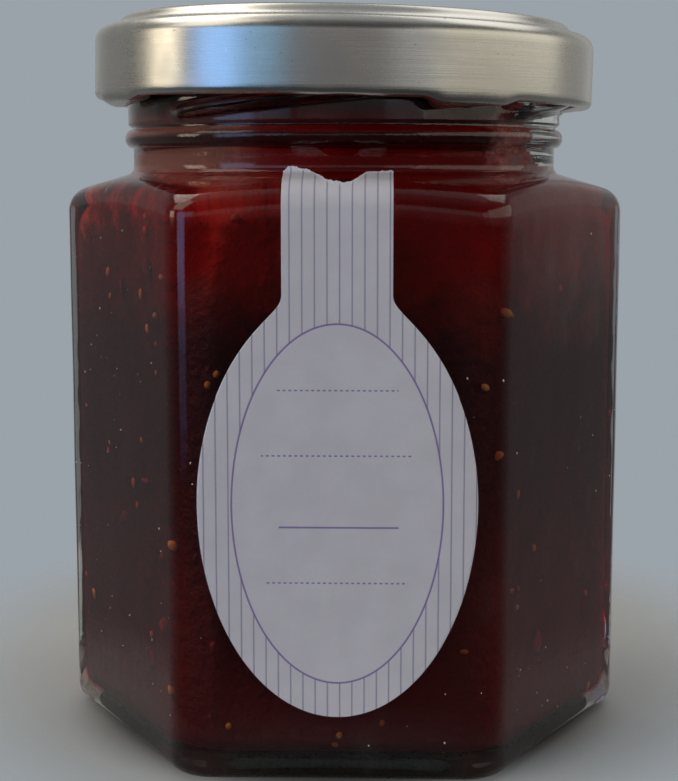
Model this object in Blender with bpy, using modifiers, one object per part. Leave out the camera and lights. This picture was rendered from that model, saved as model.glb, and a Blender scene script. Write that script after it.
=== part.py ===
# Hexagonal glass jar of fig jam with a quarter-turn lug lid and a die-cut paper label.
# Metres, +Z up. The origin is the middle of the base, and the labelled face looks along -Y.

import math

import bmesh
import bpy
from mathutils import Vector

# Glass body: a hexagon across flats, with rounded upright corners and a heel.
APOTHEM = 0.0305
CORNER_RADIUS = 0.0048
HEEL_RADIUS = 0.0025
BEARING_WIDTH = 0.0045
PUSH_UP_DEPTH = 0.0016
PUSH_UP_SLOPE = 0.0015

# Shoulder and neck: a shallow cone falls from the neck to a fillet along the six walls.
SHOULDER_PITCH = math.radians(16.5)
SHOULDER_FILLET = 0.0030
NECK_RADIUS = 0.0260
NECK_FOOT = 0.06795
NECK_FILLET = 0.0010
BEAD_HEIGHT = 0.07205
BEAD_PROUD = 0.0010
BEAD_HALF = 0.00115

# Finish: the top of the neck, with four sloping thread beads that the lid's lugs hook under.
# Each bead's low end lies at its first angle, and it climbs anticlockwise as seen from above.
FINISH_RADIUS = 0.0266
FINISH_FOOT = 0.0737
FINISH_TOP = 0.0824
RIM_HEIGHT = 0.0836
THREAD_STARTS = 4
THREAD_PROUD = 0.0016
THREAD_HALF = 0.00085
THREAD_FIRST_END = math.radians(223)
THREAD_SPAN = math.radians(105)
THREAD_TAPER = math.radians(8)
THREAD_LOW = 0.0746
THREAD_RISE = 0.00275  # metres of height for each radian
FINISH_RINGS = 22

# Inside of the glass.
WALL = 0.0027
BORE_RADIUS = 0.0235
INNER_CORNER = 0.0044
INNER_HEEL = 0.0050
INNER_FLOOR = 0.0042
INNER_CROWN = 0.0010
INNER_FILLET = 0.0025
INNER_NECK_FILLET = 0.0020

# Jam: fills the glass to just under the finish, a little clear of the wall.
JAM_GAP = 0.0003
JAM_LEVEL = 0.0755
JAM_EDGE = 0.0012
JAM_DIP = 0.0006

# Lid: pressed tinplate, drawn over the finish and curled in along its lower edge.
LID_RADIUS = 0.0305
LID_PLATE = 0.0004
LID_FOOT = 0.0762
LID_TOP = 0.0862
CURL_RADIUS = 0.0008
SKIRT_TOP = 0.0831
LID_SHOULDER = 0.0018
RIB_MIDDLE = 0.0264
RIB_HALF = 0.0012
PANEL_HEIGHT = 0.0851
BUTTON_RADIUS = 0.0085
BUTTON_RISE = 0.0004
LUG_MIDDLE = math.radians(300)
LUG_WIDTH = 0.0085
LUG_INNER = 0.02735
LUG_OUTER = 0.0299
LUG_FOOT = 0.0755
LUG_TOP = 0.0768
LUG_BEVEL = 0.00022

# Gasket: the ring of sealing compound cast into the lid over the rim.
GASKET_INNER = 0.0240
GASKET_OUTER = 0.0278
GASKET_FOOT = 0.0839
GASKET_TOP = 0.0854

# Label: an oval with a seal strip that runs up over the shoulder and is torn off at the neck.
LABEL_GAP = 0.00012
LABEL_THICKNESS = 0.00022
LABEL_MIDDLE = 0.0320
LABEL_HALF_WIDTH = 0.01535
LABEL_BELOW = 0.02405
LABEL_ABOVE = 0.0230
STRIP_HALF_WIDTH = 0.0060
STRIP_BLEND = 5.0
STRIP_FOOT = 0.0440
CREASE_FROM = 0.0642
CREASE_STEP = 0.00055
CREASES = 14

# How finely the round stretches are cut.
FLAT_STEPS = 5
CORNER_STEPS = 3
FILLET_STEPS = 4
LID_STEPS = 60

SIDES = 6
SECTOR = 2 * math.pi / SIDES
FRONT = -math.pi / 2


def start_clean():
    """Removes what the file opened with."""
    for thing in list(bpy.data.objects):
        bpy.data.objects.remove(thing, do_unlink=True)


def new_collection(name):
    """A collection linked under the scene's own."""
    made = bpy.data.collections.new(name)
    bpy.context.scene.collection.children.link(made)
    return made


def new_material(name, colour, roughness, metallic=0.0, clear=0.0):
    """A Principled material of one finish."""
    material = bpy.data.materials.new(name)
    material.use_nodes = True
    shader = material.node_tree.nodes["Principled BSDF"]
    shader.inputs["Base Color"].default_value = (*colour, 1.0)
    shader.inputs["Roughness"].default_value = roughness
    shader.inputs["Metallic"].default_value = metallic
    shader.inputs["Transmission Weight"].default_value = clear
    return material


def new_object(name, mesh, material, collection):
    """One named object for one piece."""
    made = bpy.data.objects.new(name, mesh)
    collection.objects.link(made)
    if material is not None:
        mesh.materials.append(material)
    return made


def wall_radius(angle, apothem, corner):
    """Distance from the axis to a rounded hexagon's wall in the direction of angle."""
    off_face = (angle - FRONT + SECTOR / 2) % SECTOR - SECTOR / 2
    flat_half = (apothem - corner) * math.tan(SECTOR / 2)
    if abs(off_face) <= math.atan2(flat_half, apothem):
        return apothem / math.cos(off_face)
    off_corner = SECTOR / 2 - abs(off_face)
    to_centre = (apothem - corner) / math.cos(SECTOR / 2)
    reach = to_centre * math.sin(off_corner)
    return to_centre * math.cos(off_corner) + math.sqrt(corner**2 - reach**2)


def ring_angles():
    """Directions of a ring's points: even along each flat, and by equal turns round each corner."""
    flat_half = (APOTHEM - CORNER_RADIUS) * math.tan(SECTOR / 2)
    found = []
    for side in range(SIDES):
        face = FRONT + side * SECTOR
        for step in range(FLAT_STEPS + 1):
            across = flat_half * (2 * step / FLAT_STEPS - 1)
            found.append(face + math.atan2(across, APOTHEM))
        for step in range(1, CORNER_STEPS):
            turn = SECTOR * step / CORNER_STEPS
            across = flat_half + CORNER_RADIUS * math.sin(turn)
            out = APOTHEM - CORNER_RADIUS * (1 - math.cos(turn))
            found.append(face + math.atan2(across, out))
    return found


HEXAGON_ANGLES = ring_angles()
RING_POINTS = len(HEXAGON_ANGLES)
EVEN_ANGLES = [
    HEXAGON_ANGLES[0] + 2 * math.pi * i / RING_POINTS for i in range(RING_POINTS)
]


def ring(station, evenness):
    """The points of one ring. station gives (radius, height) for an angle, and evenness runs
    from 0, the hexagon's own spacing, to 1, equal spacing round the neck."""
    points = []
    for own, even in zip(HEXAGON_ANGLES, EVEN_ANGLES):
        angle = own + (even - own) * evenness
        radius, height = station(angle)
        points.append(Vector((radius * math.cos(angle), radius * math.sin(angle), height)))
    return points


def skin(name, rings, material, collection):
    """A closed body over rings of equally many points, with a flat cap on the first and the last."""
    bm = bmesh.new()
    rows = [[bm.verts.new(point) for point in points] for points in rings]
    for lower, upper in zip(rows, rows[1:]):
        for i, corner in enumerate(lower):
            beside = (i + 1) % len(lower)
            bm.faces.new((corner, lower[beside], upper[beside], upper[i]))
    bm.faces.new(rows[0])
    bm.faces.new(rows[-1])
    bmesh.ops.recalc_face_normals(bm, faces=bm.faces)
    mesh = bpy.data.meshes.new(name)
    bm.to_mesh(mesh)
    bm.free()
    mesh.shade_smooth()
    mesh.set_sharp_from_angle(angle=math.radians(32))
    return new_object(name, mesh, material, collection)


def shoulder_point(angle, share, apothem, corner, fillet, neck_radius, neck_foot):
    """A point of the fillet between a wall and the shoulder cone: share 0 is on the wall, 1 on the cone."""
    middle = wall_radius(angle, apothem, corner) - fillet
    touch = middle + fillet * math.sin(SHOULDER_PITCH)
    touch_height = neck_foot - math.tan(SHOULDER_PITCH) * (touch - neck_radius)
    middle_height = touch_height - fillet * math.cos(SHOULDER_PITCH)
    turn = share * (math.pi / 2 - SHOULDER_PITCH)
    return middle + fillet * math.cos(turn), middle_height + fillet * math.sin(turn)


def neck_point(share, fillet, neck_radius, neck_foot):
    """A point of the hollow fillet at the neck's foot: share 0 is on the cone, 1 on the neck."""
    turn = SHOULDER_PITCH + share * (math.pi / 2 - SHOULDER_PITCH)
    rise = fillet * (1 - math.sin(SHOULDER_PITCH)) / math.cos(SHOULDER_PITCH)
    return neck_radius + fillet * (1 - math.sin(turn)), neck_foot + rise - fillet * math.cos(turn)


def thread_proud(angle, height):
    """How far the four sloping beads stand out of the finish at a point."""
    pitch = 2 * math.pi / THREAD_STARTS
    along = (angle - THREAD_FIRST_END) % pitch
    off_line = (height - THREAD_LOW - THREAD_RISE * along) / THREAD_HALF
    if along > THREAD_SPAN or abs(off_line) >= 1:
        return 0.0
    taper = min(1.0, along / THREAD_TAPER, (THREAD_SPAN - along) / THREAD_TAPER)
    return THREAD_PROUD * math.sin(taper * math.pi / 2) * math.sqrt(1 - off_line**2)


def hexagon_station(inset, height):
    """A ring parallel to the outer wall."""
    return lambda angle: (wall_radius(angle, APOTHEM, CORNER_RADIUS) - inset, height)


def round_station(radius, height):
    """A round ring."""
    return lambda angle: (radius, height)


def outer_base():
    """The underside: a push-up, the flat that the jar stands on, and the heel."""
    inner_edge = HEEL_RADIUS + BEARING_WIDTH
    rings = [
        ring(hexagon_station(inner_edge + PUSH_UP_SLOPE, PUSH_UP_DEPTH), 0),
        ring(hexagon_station(inner_edge, 0.0), 0),
    ]
    for step in range(FILLET_STEPS + 1):
        turn = math.pi / 2 * step / FILLET_STEPS
        inset = HEEL_RADIUS * (1 - math.sin(turn))
        rings.append(ring(hexagon_station(inset, HEEL_RADIUS * (1 - math.cos(turn))), 0))
    return rings


def outer_shoulder():
    """From the top of the walls over the shoulder to the foot of the neck."""
    rings = []
    for step in range(FILLET_STEPS + 1):
        share = step / FILLET_STEPS
        rings.append(
            ring(
                lambda angle, share=share: shoulder_point(
                    angle, share, APOTHEM, CORNER_RADIUS, SHOULDER_FILLET, NECK_RADIUS, NECK_FOOT
                ),
                0.6 * share,
            )
        )
    for step in range(FILLET_STEPS):
        radius, height = neck_point(step / (FILLET_STEPS - 1), NECK_FILLET, NECK_RADIUS, NECK_FOOT)
        rings.append(ring(round_station(radius, height), 1))
    return rings


def outer_neck():
    """The neck, its bead, the threaded finish and the rounded rim."""
    rings = []
    for degrees in range(-90, 91, 30):
        turn = math.radians(degrees)
        radius = NECK_RADIUS + BEAD_PROUD * math.cos(turn)
        rings.append(ring(round_station(radius, BEAD_HEIGHT + BEAD_HALF * math.sin(turn)), 1))
    for step in range(FINISH_RINGS + 1):
        height = FINISH_FOOT + (FINISH_TOP - FINISH_FOOT) * step / FINISH_RINGS
        rings.append(
            ring(
                lambda angle, height=height: (FINISH_RADIUS + thread_proud(angle, height), height),
                1,
            )
        )
    middle = (FINISH_RADIUS + BORE_RADIUS) / 2
    half = (FINISH_RADIUS - BORE_RADIUS) / 2
    rise = RIM_HEIGHT - FINISH_TOP
    for degrees in (28, 58, 80, 100, 122, 152, 180):
        turn = math.radians(degrees)
        rings.append(
            ring(round_station(middle + half * math.cos(turn), FINISH_TOP + rise * math.sin(turn)), 1)
        )
    return rings


def inner_foot():
    """Height at which the inner shoulder cone would meet the bore."""
    drop = WALL / math.cos(SHOULDER_PITCH)
    return NECK_FOOT + math.tan(SHOULDER_PITCH) * (NECK_RADIUS - BORE_RADIUS) - drop


def hollow(gap):
    """Rings of the inside, from the bore's foot down to the floor, drawn in by gap."""
    apothem = APOTHEM - WALL - gap
    corner = INNER_CORNER - gap
    bore = BORE_RADIUS - gap
    foot = inner_foot() - gap
    fillet = INNER_FILLET - gap
    heel = INNER_HEEL - gap
    floor = INNER_FLOOR + gap
    rings = []
    for step in range(FILLET_STEPS):
        radius, height = neck_point(1 - step / (FILLET_STEPS - 1), INNER_NECK_FILLET, bore, foot)
        rings.append(ring(round_station(radius, height), 1))
    for step in range(FILLET_STEPS + 1):
        share = 1 - step / FILLET_STEPS
        rings.append(
            ring(
                lambda angle, share=share: shoulder_point(
                    angle, share, apothem, corner, fillet, bore, foot
                ),
                0.6 * share,
            )
        )
    for step in range(FILLET_STEPS + 1):
        turn = math.pi / 2 * (1 - step / FILLET_STEPS)
        inset = heel * (1 - math.sin(turn))
        height = floor + heel * (1 - math.cos(turn))
        rings.append(
            ring(
                lambda angle, inset=inset, height=height: (
                    wall_radius(angle, apothem, corner) - inset,
                    height,
                ),
                0,
            )
        )
    crown = floor + INNER_CROWN
    rings.append(ring(lambda angle: (0.3 * wall_radius(angle, apothem, corner), crown), 0))
    return rings


def build_jar(material, collection):
    """The pressed glass: outside, rim and inside in one closed body."""
    rings = outer_base() + outer_shoulder() + outer_neck() + hollow(0.0)
    return skin("glass_jar", rings, material, collection)


def build_jam(material, collection):
    """The filling: the inside's shape up to its level, with a rounded edge and a shallow dip."""
    radius = BORE_RADIUS - JAM_GAP
    rings = [
        ring(round_station(radius * 0.3, JAM_LEVEL - JAM_DIP), 1),
        ring(round_station(radius * 0.75, JAM_LEVEL - JAM_DIP / 2), 1),
    ]
    for step in range(FILLET_STEPS + 1):
        turn = math.pi / 2 * step / FILLET_STEPS
        edge = radius - JAM_EDGE * (1 - math.sin(turn))
        rings.append(ring(round_station(edge, JAM_LEVEL - JAM_EDGE * (1 - math.cos(turn))), 1))
    return skin("jam", rings + hollow(JAM_GAP), material, collection)


def turned(name, profile, closed, material, collection):
    """A profile of (radius, height) points spun round the jar's axis with a Screw modifier."""
    mesh = bpy.data.meshes.new(name)
    edges = [(i, i + 1) for i in range(len(profile) - 1)]
    if closed:
        edges.append((len(profile) - 1, 0))
    mesh.from_pydata([(radius, 0.0, height) for radius, height in profile], edges, [])
    made = new_object(name, mesh, material, collection)
    screw = made.modifiers.new("turn", "SCREW")
    screw.steps = LID_STEPS
    screw.render_steps = LID_STEPS
    screw.use_merge_vertices = True
    screw.merge_threshold = 0.00001
    screw.use_smooth_shade = True
    return made


def arc(middle, radius, first, last, steps):
    """Points on an arc in the profile's plane, by angle from +X in degrees."""
    found = []
    for step in range(steps + 1):
        turn = math.radians(first + (last - first) * step / steps)
        found.append((middle[0] + radius * math.cos(turn), middle[1] + radius * math.sin(turn)))
    return found


def lid_profile():
    """The plate's outer face from the middle of the top, over the rib and down the skirt to its curl."""
    profile = [(0.0, PANEL_HEIGHT + BUTTON_RISE), (BUTTON_RADIUS * 0.7, PANEL_HEIGHT + BUTTON_RISE * 0.8)]
    profile += [(BUTTON_RADIUS, PANEL_HEIGHT), (RIB_MIDDLE - 1.9 * RIB_HALF, PANEL_HEIGHT)]
    rib_foot = LID_TOP - RIB_HALF
    profile += arc((RIB_MIDDLE, rib_foot), RIB_HALF, 160, 20, 4)
    profile.append((RIB_MIDDLE + 1.4 * RIB_HALF, SKIRT_TOP + LID_SHOULDER))
    profile += arc((LID_RADIUS - LID_SHOULDER, SKIRT_TOP), LID_SHOULDER, 75, 0, 3)
    curl_middle = (LID_RADIUS - CURL_RADIUS, LID_FOOT + CURL_RADIUS)
    profile += arc(curl_middle, CURL_RADIUS, 0, -200, 6)
    return profile


def lug(number, guides):
    """One lug: a flattened tab of the curl that reaches in under the glass thread, at its slope."""
    bm = bmesh.new()
    bmesh.ops.create_cube(bm, size=1.0)
    size = Vector((LUG_OUTER - LUG_INNER, LUG_WIDTH, LUG_TOP - LUG_FOOT))
    bmesh.ops.scale(bm, vec=size, verts=bm.verts)
    mesh = bpy.data.meshes.new(f"lug_{number}")
    bm.to_mesh(mesh)
    bm.free()
    made = new_object(f"lug_{number}", mesh, None, guides)
    angle = LUG_MIDDLE + number * 2 * math.pi / THREAD_STARTS
    middle = (LUG_OUTER + LUG_INNER) / 2
    made.location = (middle * math.cos(angle), middle * math.sin(angle), (LUG_TOP + LUG_FOOT) / 2)
    made.rotation_euler = (math.atan(THREAD_RISE / middle), 0.0, angle)
    bevel = made.modifiers.new("edges", "BEVEL")
    bevel.width = LUG_BEVEL
    bevel.segments = 2
    made.hide_render = True
    made.display_type = "WIRE"
    return made


def build_lid(material, collection):
    """The lid's shell, with its four lugs joined to the curl."""
    lid = turned("lid_shell", lid_profile(), False, material, collection)
    plate = lid.modifiers.new("plate", "SOLIDIFY")
    plate.thickness = LID_PLATE
    plate.offset = -1.0
    plate.use_even_offset = True
    guides = new_collection("lug guides")
    for number in range(THREAD_STARTS):
        lug(number, guides)
    join = lid.modifiers.new("lugs", "BOOLEAN")
    join.operation = "UNION"
    join.operand_type = "COLLECTION"
    join.collection = guides
    join.solver = "EXACT"
    return lid


def build_gasket(material, collection):
    """The sealing compound, as it lies in the lid's channel over the rim."""
    profile = [
        (GASKET_INNER, GASKET_FOOT + 0.0003),
        (GASKET_INNER, GASKET_FOOT + 0.0006),
        (RIB_MIDDLE - RIB_HALF, GASKET_FOOT + 0.0008),
        (RIB_MIDDLE - RIB_HALF / 2, GASKET_TOP - 0.0001),
        (RIB_MIDDLE, GASKET_TOP),
        (RIB_MIDDLE + RIB_HALF / 2, GASKET_TOP - 0.0003),
        (GASKET_OUTER, GASKET_FOOT + 0.0004),
        (GASKET_OUTER - 0.0003, GASKET_FOOT),
        (GASKET_INNER + 0.0003, GASKET_FOOT),
    ]
    return turned("lid_gasket", profile, True, material, collection)


def front_meridian(angle):
    """(radius, height) points up the outside of the glass, from the wall to above the neck's foot."""
    points = [(wall_radius(angle, APOTHEM, CORNER_RADIUS), 0.0)]
    for step in range(FILLET_STEPS + 1):
        share = step / FILLET_STEPS
        points.append(
            shoulder_point(angle, share, APOTHEM, CORNER_RADIUS, SHOULDER_FILLET, NECK_RADIUS, NECK_FOOT)
        )
    for step in range(FILLET_STEPS):
        points.append(neck_point(step / (FILLET_STEPS - 1), NECK_FILLET, NECK_RADIUS, NECK_FOOT))
    points.append((NECK_RADIUS, BEAD_HEIGHT))
    return points


def along_meridian(points, length):
    """The point at a length along the meridian, and the outward direction there."""
    for (r0, z0), (r1, z1) in zip(points, points[1:]):
        step = math.hypot(r1 - r0, z1 - z0)
        if length <= step:
            share = length / step
            return (r0 + (r1 - r0) * share, z0 + (z1 - z0) * share), ((z1 - z0) / step, (r0 - r1) / step)
        length -= step
    return points[-1], (1.0, 0.0)


def on_glass(across, length, lift):
    """The point lifted off the front of the glass, at a distance across and a length up it."""
    angle = FRONT
    radius = APOTHEM
    for _ in range(5):
        (radius, height), out = along_meridian(front_meridian(angle), length)
        angle = FRONT + math.asin(across / radius)
    radius += lift * out[0]
    return Vector((radius * math.cos(angle), radius * math.sin(angle), height + lift * out[1]))


def label_half_width(height):
    """Half the label's width: the oval, blended into the strip above it."""
    reach = LABEL_ABOVE if height > LABEL_MIDDLE else LABEL_BELOW
    share = min(1.0, abs(height - LABEL_MIDDLE) / reach)
    oval = LABEL_HALF_WIDTH * math.sqrt(1 - share**2)
    if height < STRIP_FOOT:
        return oval
    return (oval**STRIP_BLEND + STRIP_HALF_WIDTH**STRIP_BLEND) ** (1 / STRIP_BLEND)


def torn_edge():
    """The torn end, from right to left: (across, length up the glass)."""
    return [
        (0.0060, 0.0709),
        (0.0057, 0.0711),
        (0.0041, 0.0706),
        (0.0030, 0.0702),
        (0.0021, 0.0681),
        (0.0015, 0.0672),
        (0.0006, 0.0671),
        (-0.0004, 0.0673),
        (-0.0013, 0.0677),
        (-0.0019, 0.0687),
        (-0.0030, 0.0707),
        (-0.0043, 0.0714),
        (-0.0054, 0.0718),
        (-0.0060, 0.0710),
    ]


def label_outline():
    """The flat label's outline, anticlockwise from the foot: (across, length up the glass)."""
    right = []
    oval_steps = 40
    for step in range(1, oval_steps + 1):
        turn = math.pi * (step / oval_steps) * 0.75 - math.pi / 2
        height = LABEL_MIDDLE + (LABEL_ABOVE if turn > 0 else LABEL_BELOW) * math.sin(turn)
        right.append((label_half_width(height), height))
    last = right[-1][1]
    for step in range(1, 9):
        height = last + (0.0585 - last) * step / 8
        right.append((label_half_width(height), height))
    left = [(-across, height) for across, height in reversed(right)]
    return [(0.0, LABEL_MIDDLE - LABEL_BELOW), *right, *torn_edge(), *left]


def build_label(material, collection):
    """The paper, cut flat, creased along lines across it and laid on the glass."""
    bm = bmesh.new()
    bm.faces.new([bm.verts.new((across, length, 0.0)) for across, length in label_outline()])
    for number in range(CREASES):
        cut(bm, (0.0, CREASE_FROM + number * CREASE_STEP, 0.0), (0.0, 1.0, 0.0))
    for across in (-0.004, -0.002, 0.0, 0.002, 0.004):
        cut(bm, (across, 0.0, 0.0), (1.0, 0.0, 0.0))
    bmesh.ops.triangulate(bm, faces=bm.faces)
    for corner in bm.verts:
        corner.co = on_glass(corner.co.x, corner.co.y, LABEL_GAP)
    bmesh.ops.recalc_face_normals(bm, faces=bm.faces)
    mesh = bpy.data.meshes.new("label")
    bm.to_mesh(mesh)
    bm.free()
    made = new_object("label", mesh, material, collection)
    paper = made.modifiers.new("paper", "SOLIDIFY")
    paper.thickness = LABEL_THICKNESS
    paper.offset = 1.0
    return made


def cut(bm, point, normal):
    """Cuts every face of the flat label along a plane."""
    everything = bm.verts[:] + bm.edges[:] + bm.faces[:]
    bmesh.ops.bisect_plane(bm, geom=everything, dist=1e-7, plane_co=point, plane_no=normal)


def main():
    start_clean()
    jar = new_collection("jam_jar")
    build_jar(new_material("clear glass", (0.86, 0.93, 0.90), 0.03, clear=1.0), jar)
    build_jam(new_material("fig jam", (0.16, 0.010, 0.015), 0.18), jar)
    build_lid(new_material("satin tinplate", (0.62, 0.60, 0.55), 0.32, metallic=1.0), jar)
    build_gasket(new_material("sealing compound", (0.78, 0.76, 0.70), 0.55), jar)
    build_label(new_material("label paper", (0.74, 0.74, 0.80), 0.6), jar)


main()
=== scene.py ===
# A hexagonal glass jar of fig jam, with a satin steel lug lid and a paper label whose seal is torn.
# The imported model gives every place. Lengths are written in millimetres and kept in metres.

import math

import bmesh
import bpy
from mathutils import Matrix, Vector, noise


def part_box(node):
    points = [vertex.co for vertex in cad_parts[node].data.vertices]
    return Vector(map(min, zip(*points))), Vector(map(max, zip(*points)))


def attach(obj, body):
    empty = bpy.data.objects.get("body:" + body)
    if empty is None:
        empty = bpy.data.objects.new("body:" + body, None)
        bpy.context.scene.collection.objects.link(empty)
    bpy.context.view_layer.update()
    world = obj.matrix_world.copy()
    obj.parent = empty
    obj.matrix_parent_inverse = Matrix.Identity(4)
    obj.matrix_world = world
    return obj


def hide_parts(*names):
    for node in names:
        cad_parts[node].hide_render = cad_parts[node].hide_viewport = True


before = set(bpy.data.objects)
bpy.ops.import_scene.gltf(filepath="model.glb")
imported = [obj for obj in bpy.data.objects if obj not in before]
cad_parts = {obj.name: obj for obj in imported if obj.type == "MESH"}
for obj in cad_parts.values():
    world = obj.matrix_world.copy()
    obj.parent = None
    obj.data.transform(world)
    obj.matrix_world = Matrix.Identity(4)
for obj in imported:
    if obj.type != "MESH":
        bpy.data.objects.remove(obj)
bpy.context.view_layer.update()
mm = 0.001


# The jar is one piece of pressed soda-lime glass: six flat walls with rounded corners, a sloping
# shoulder, and a round neck with a bead and four short sloping threads. It is blown and pressed in an
# iron mould, so its walls are thick, a little wavy and faintly green where they are deepest.

glass_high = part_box("glass_jar")[1]
sides = 6
sector = 2 * math.pi / sides
front = -math.pi / 2

apothem = glass_high[1]
corner_radius = 4.8 * mm
heel_radius = 2.5 * mm
bearing_width = 4.5 * mm
push_up_depth = 1.6 * mm
wall_thickness = 2.7 * mm
ripple_depth, ripple_size = 0.05 * mm, 13 * mm

shoulder_pitch = math.radians(16.5)
shoulder_fillet = 3.0 * mm
shoulder_evenness = 0.6
neck_radius = 26.0 * mm
neck_foot = 67.95 * mm
neck_fillet = 1.0 * mm
bead_height = 72.05 * mm
bead_half = 1.15 * mm
bead_proud = 1.0 * mm

finish_radius = 26.6 * mm
finish_foot = 73.7 * mm
finish_top = 82.4 * mm
rim_height = glass_high[2]
bore_radius = 23.5 * mm
thread_starts = 4
thread_pitch_angle = 2 * math.pi / thread_starts
thread_low_end = math.radians(223)
thread_span = math.radians(105)
thread_taper = math.radians(9)
thread_low_height = 74.6 * mm
thread_rise = 2.75 * mm
thread_half = 1.05 * mm
thread_proud = 1.6 * mm

inner_corner = 4.4 * mm
inner_heel = 2.2 * mm
inner_fillet = 2.5 * mm
inner_neck_fillet = 2.0 * mm
floor_height = 2.5 * mm
floor_dome = 1.0 * mm

flat_steps, corner_steps = 20, 14
edge_steps, slope_steps, foot_steps = 12, 6, 6
outer_wall_steps, inner_wall_steps = 26, 18
heel_steps, inner_heel_steps, bead_steps = 8, 10, 14
finish_steps, rim_steps, bore_steps = 60, 14, 26


def blend(first, second, share):
    """The value at a share of the way from first to second."""
    return first + (second - first) * share


def ease(share):
    """A share from 0 to 1 that starts and ends slowly."""
    share = min(1.0, max(0.0, share))
    return share * share * (3 - 2 * share)


def wall_radius(angle, inset=0.0, corner=corner_radius):
    """Distance from the axis to the rounded hexagon's wall, drawn in by an inset."""
    flat = apothem - inset
    off_face = (angle - front + sector / 2) % sector - sector / 2
    flat_half = (flat - corner) * math.tan(sector / 2)
    if abs(off_face) <= math.atan2(flat_half, flat):
        return flat / math.cos(off_face)
    off_corner = sector / 2 - abs(off_face)
    to_middle = (flat - corner) / math.cos(sector / 2)
    reach = to_middle * math.sin(off_corner)
    return to_middle * math.cos(off_corner) + math.sqrt(max(0.0, corner**2 - reach**2))


def spaced_angles():
    """Directions that lie evenly along each flat and by equal turns round each corner."""
    flat_half = (apothem - corner_radius) * math.tan(sector / 2)
    found = []
    for side in range(sides):
        face = front + side * sector
        for step in range(flat_steps + 1):
            across = flat_half * (2 * step / flat_steps - 1)
            found.append(face + math.atan2(across, apothem))
        for step in range(1, corner_steps):
            turn = sector * step / corner_steps
            across = flat_half + corner_radius * math.sin(turn)
            out = apothem - corner_radius * (1 - math.cos(turn))
            found.append(face + math.atan2(across, out))
    return found


hexagon_angles = spaced_angles()
around = len(hexagon_angles)
even_angles = [hexagon_angles[0] + 2 * math.pi * step / around for step in range(around)]


def ring(station, evenness=0.0):
    """One ring of points from station(angle), which gives a radius and a height."""
    points = []
    for own, even in zip(hexagon_angles, even_angles):
        angle = blend(own, even, evenness)
        radius, height = station(angle)
        points.append((radius * math.cos(angle), radius * math.sin(angle), height))
    return points


def round_ring(radius, height):
    """One ring of points on a circle."""
    return ring(lambda angle: (radius, height), 1.0)


def placed(name, data):
    """A new object in the scene, with its mesh, lamp or camera."""
    made = bpy.data.objects.new(name, data)
    bpy.context.scene.collection.objects.link(made)
    return made


def surface(name, points, faces):
    """A piece with a smooth mesh of points and faces."""
    mesh = bpy.data.meshes.new(name)
    mesh.from_pydata(points, [], faces)
    mesh.shade_smooth()
    return placed(name, mesh)


def grid_faces(columns, rows, closed=False):
    """Faces between rows of points. A closed row's last point joins its first."""
    width = columns if closed else columns + 1
    faces = []
    for row in range(rows):
        for step in range(columns):
            here, beside = row * width + step, row * width + (step + 1) % width
            faces.append((here, beside, beside + width, here + width))
    return faces


def skin(name, rows):
    """A closed piece over rings of equally many points, whose end rings close to a middle point."""
    count = len(rows[0])
    points = [point for row in rows for point in row]
    faces = grid_faces(count, len(rows) - 1, closed=True)
    last_row = (len(rows) - 1) * count
    for ends in (rows[0], rows[-1]):
        middle = sum((Vector(point) for point in ends), Vector()) / count
        points.append(tuple(middle))
    for step in range(count):
        beside = (step + 1) % count
        faces.append((len(points) - 2, beside, step))
        faces.append((len(points) - 1, last_row + step, last_row + beside))
    return surface(name, points, faces)


def fillet_point(angle, share, inset, corner, fillet, neck, foot):
    """A point of the round edge between wall and shoulder: share 0 on the wall, 1 on the slope."""
    middle = wall_radius(angle, inset, corner) - fillet
    touch = middle + fillet * math.sin(shoulder_pitch)
    touch_height = foot - math.tan(shoulder_pitch) * (touch - neck)
    turn = share * (math.pi / 2 - shoulder_pitch)
    height = touch_height - fillet * math.cos(shoulder_pitch) + fillet * math.sin(turn)
    return middle + fillet * math.cos(turn), height


def foot_point(share, fillet, neck, foot):
    """A point of the hollow round at the neck's foot: share 0 on the slope, 1 on the neck."""
    turn = shoulder_pitch + share * (math.pi / 2 - shoulder_pitch)
    rise = fillet * (1 - math.sin(shoulder_pitch)) / math.cos(shoulder_pitch)
    return neck + fillet * (1 - math.sin(turn)), foot + rise - fillet * math.cos(turn)


def shell_rows(inset, corner, fillet, neck, foot, hollow_fillet, wall_foot, wall_steps):
    """Rings from the foot of the upright walls to the neck, over fillet, slope and hollow round."""

    def edge(angle, share):
        return fillet_point(angle, share, inset, corner, fillet, neck, foot)

    def wall(share):
        return lambda angle: (edge(angle, 0)[0], blend(wall_foot, edge(angle, 0)[1], share))

    def slope(share):
        low_end = foot_point(0, hollow_fillet, neck, foot)
        return lambda angle: tuple(blend(a, b, share) for a, b in zip(edge(angle, 1), low_end))

    rows = [ring(wall(step / wall_steps)) for step in range(1, wall_steps)]
    for step in range(edge_steps + 1):
        share = step / edge_steps
        rows.append(ring(lambda angle: edge(angle, share), shoulder_evenness * share))
    for step in range(1, slope_steps):
        evenness = shoulder_evenness + (1 - shoulder_evenness) * step / slope_steps
        rows.append(ring(slope(step / slope_steps), evenness))
    for step in range(foot_steps + 1):
        rows.append(round_ring(*foot_point(step / foot_steps, hollow_fillet, neck, foot)))
    return rows


def thread_height(angle, height):
    """How far the four threads stand out of the neck at a point."""
    along = (angle - thread_low_end) % thread_pitch_angle
    proud = 0.0
    for reach in (along, along + thread_pitch_angle):
        if reach < thread_span:
            off_line = (height - thread_low_height - thread_rise * reach) / thread_half
            ends = ease(reach / thread_taper) * ease((thread_span - reach) / thread_taper)
            if abs(off_line) < 1:
                proud = max(proud, thread_proud * ends * math.cos(off_line * math.pi / 2) ** 1.2)
    return proud


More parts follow.
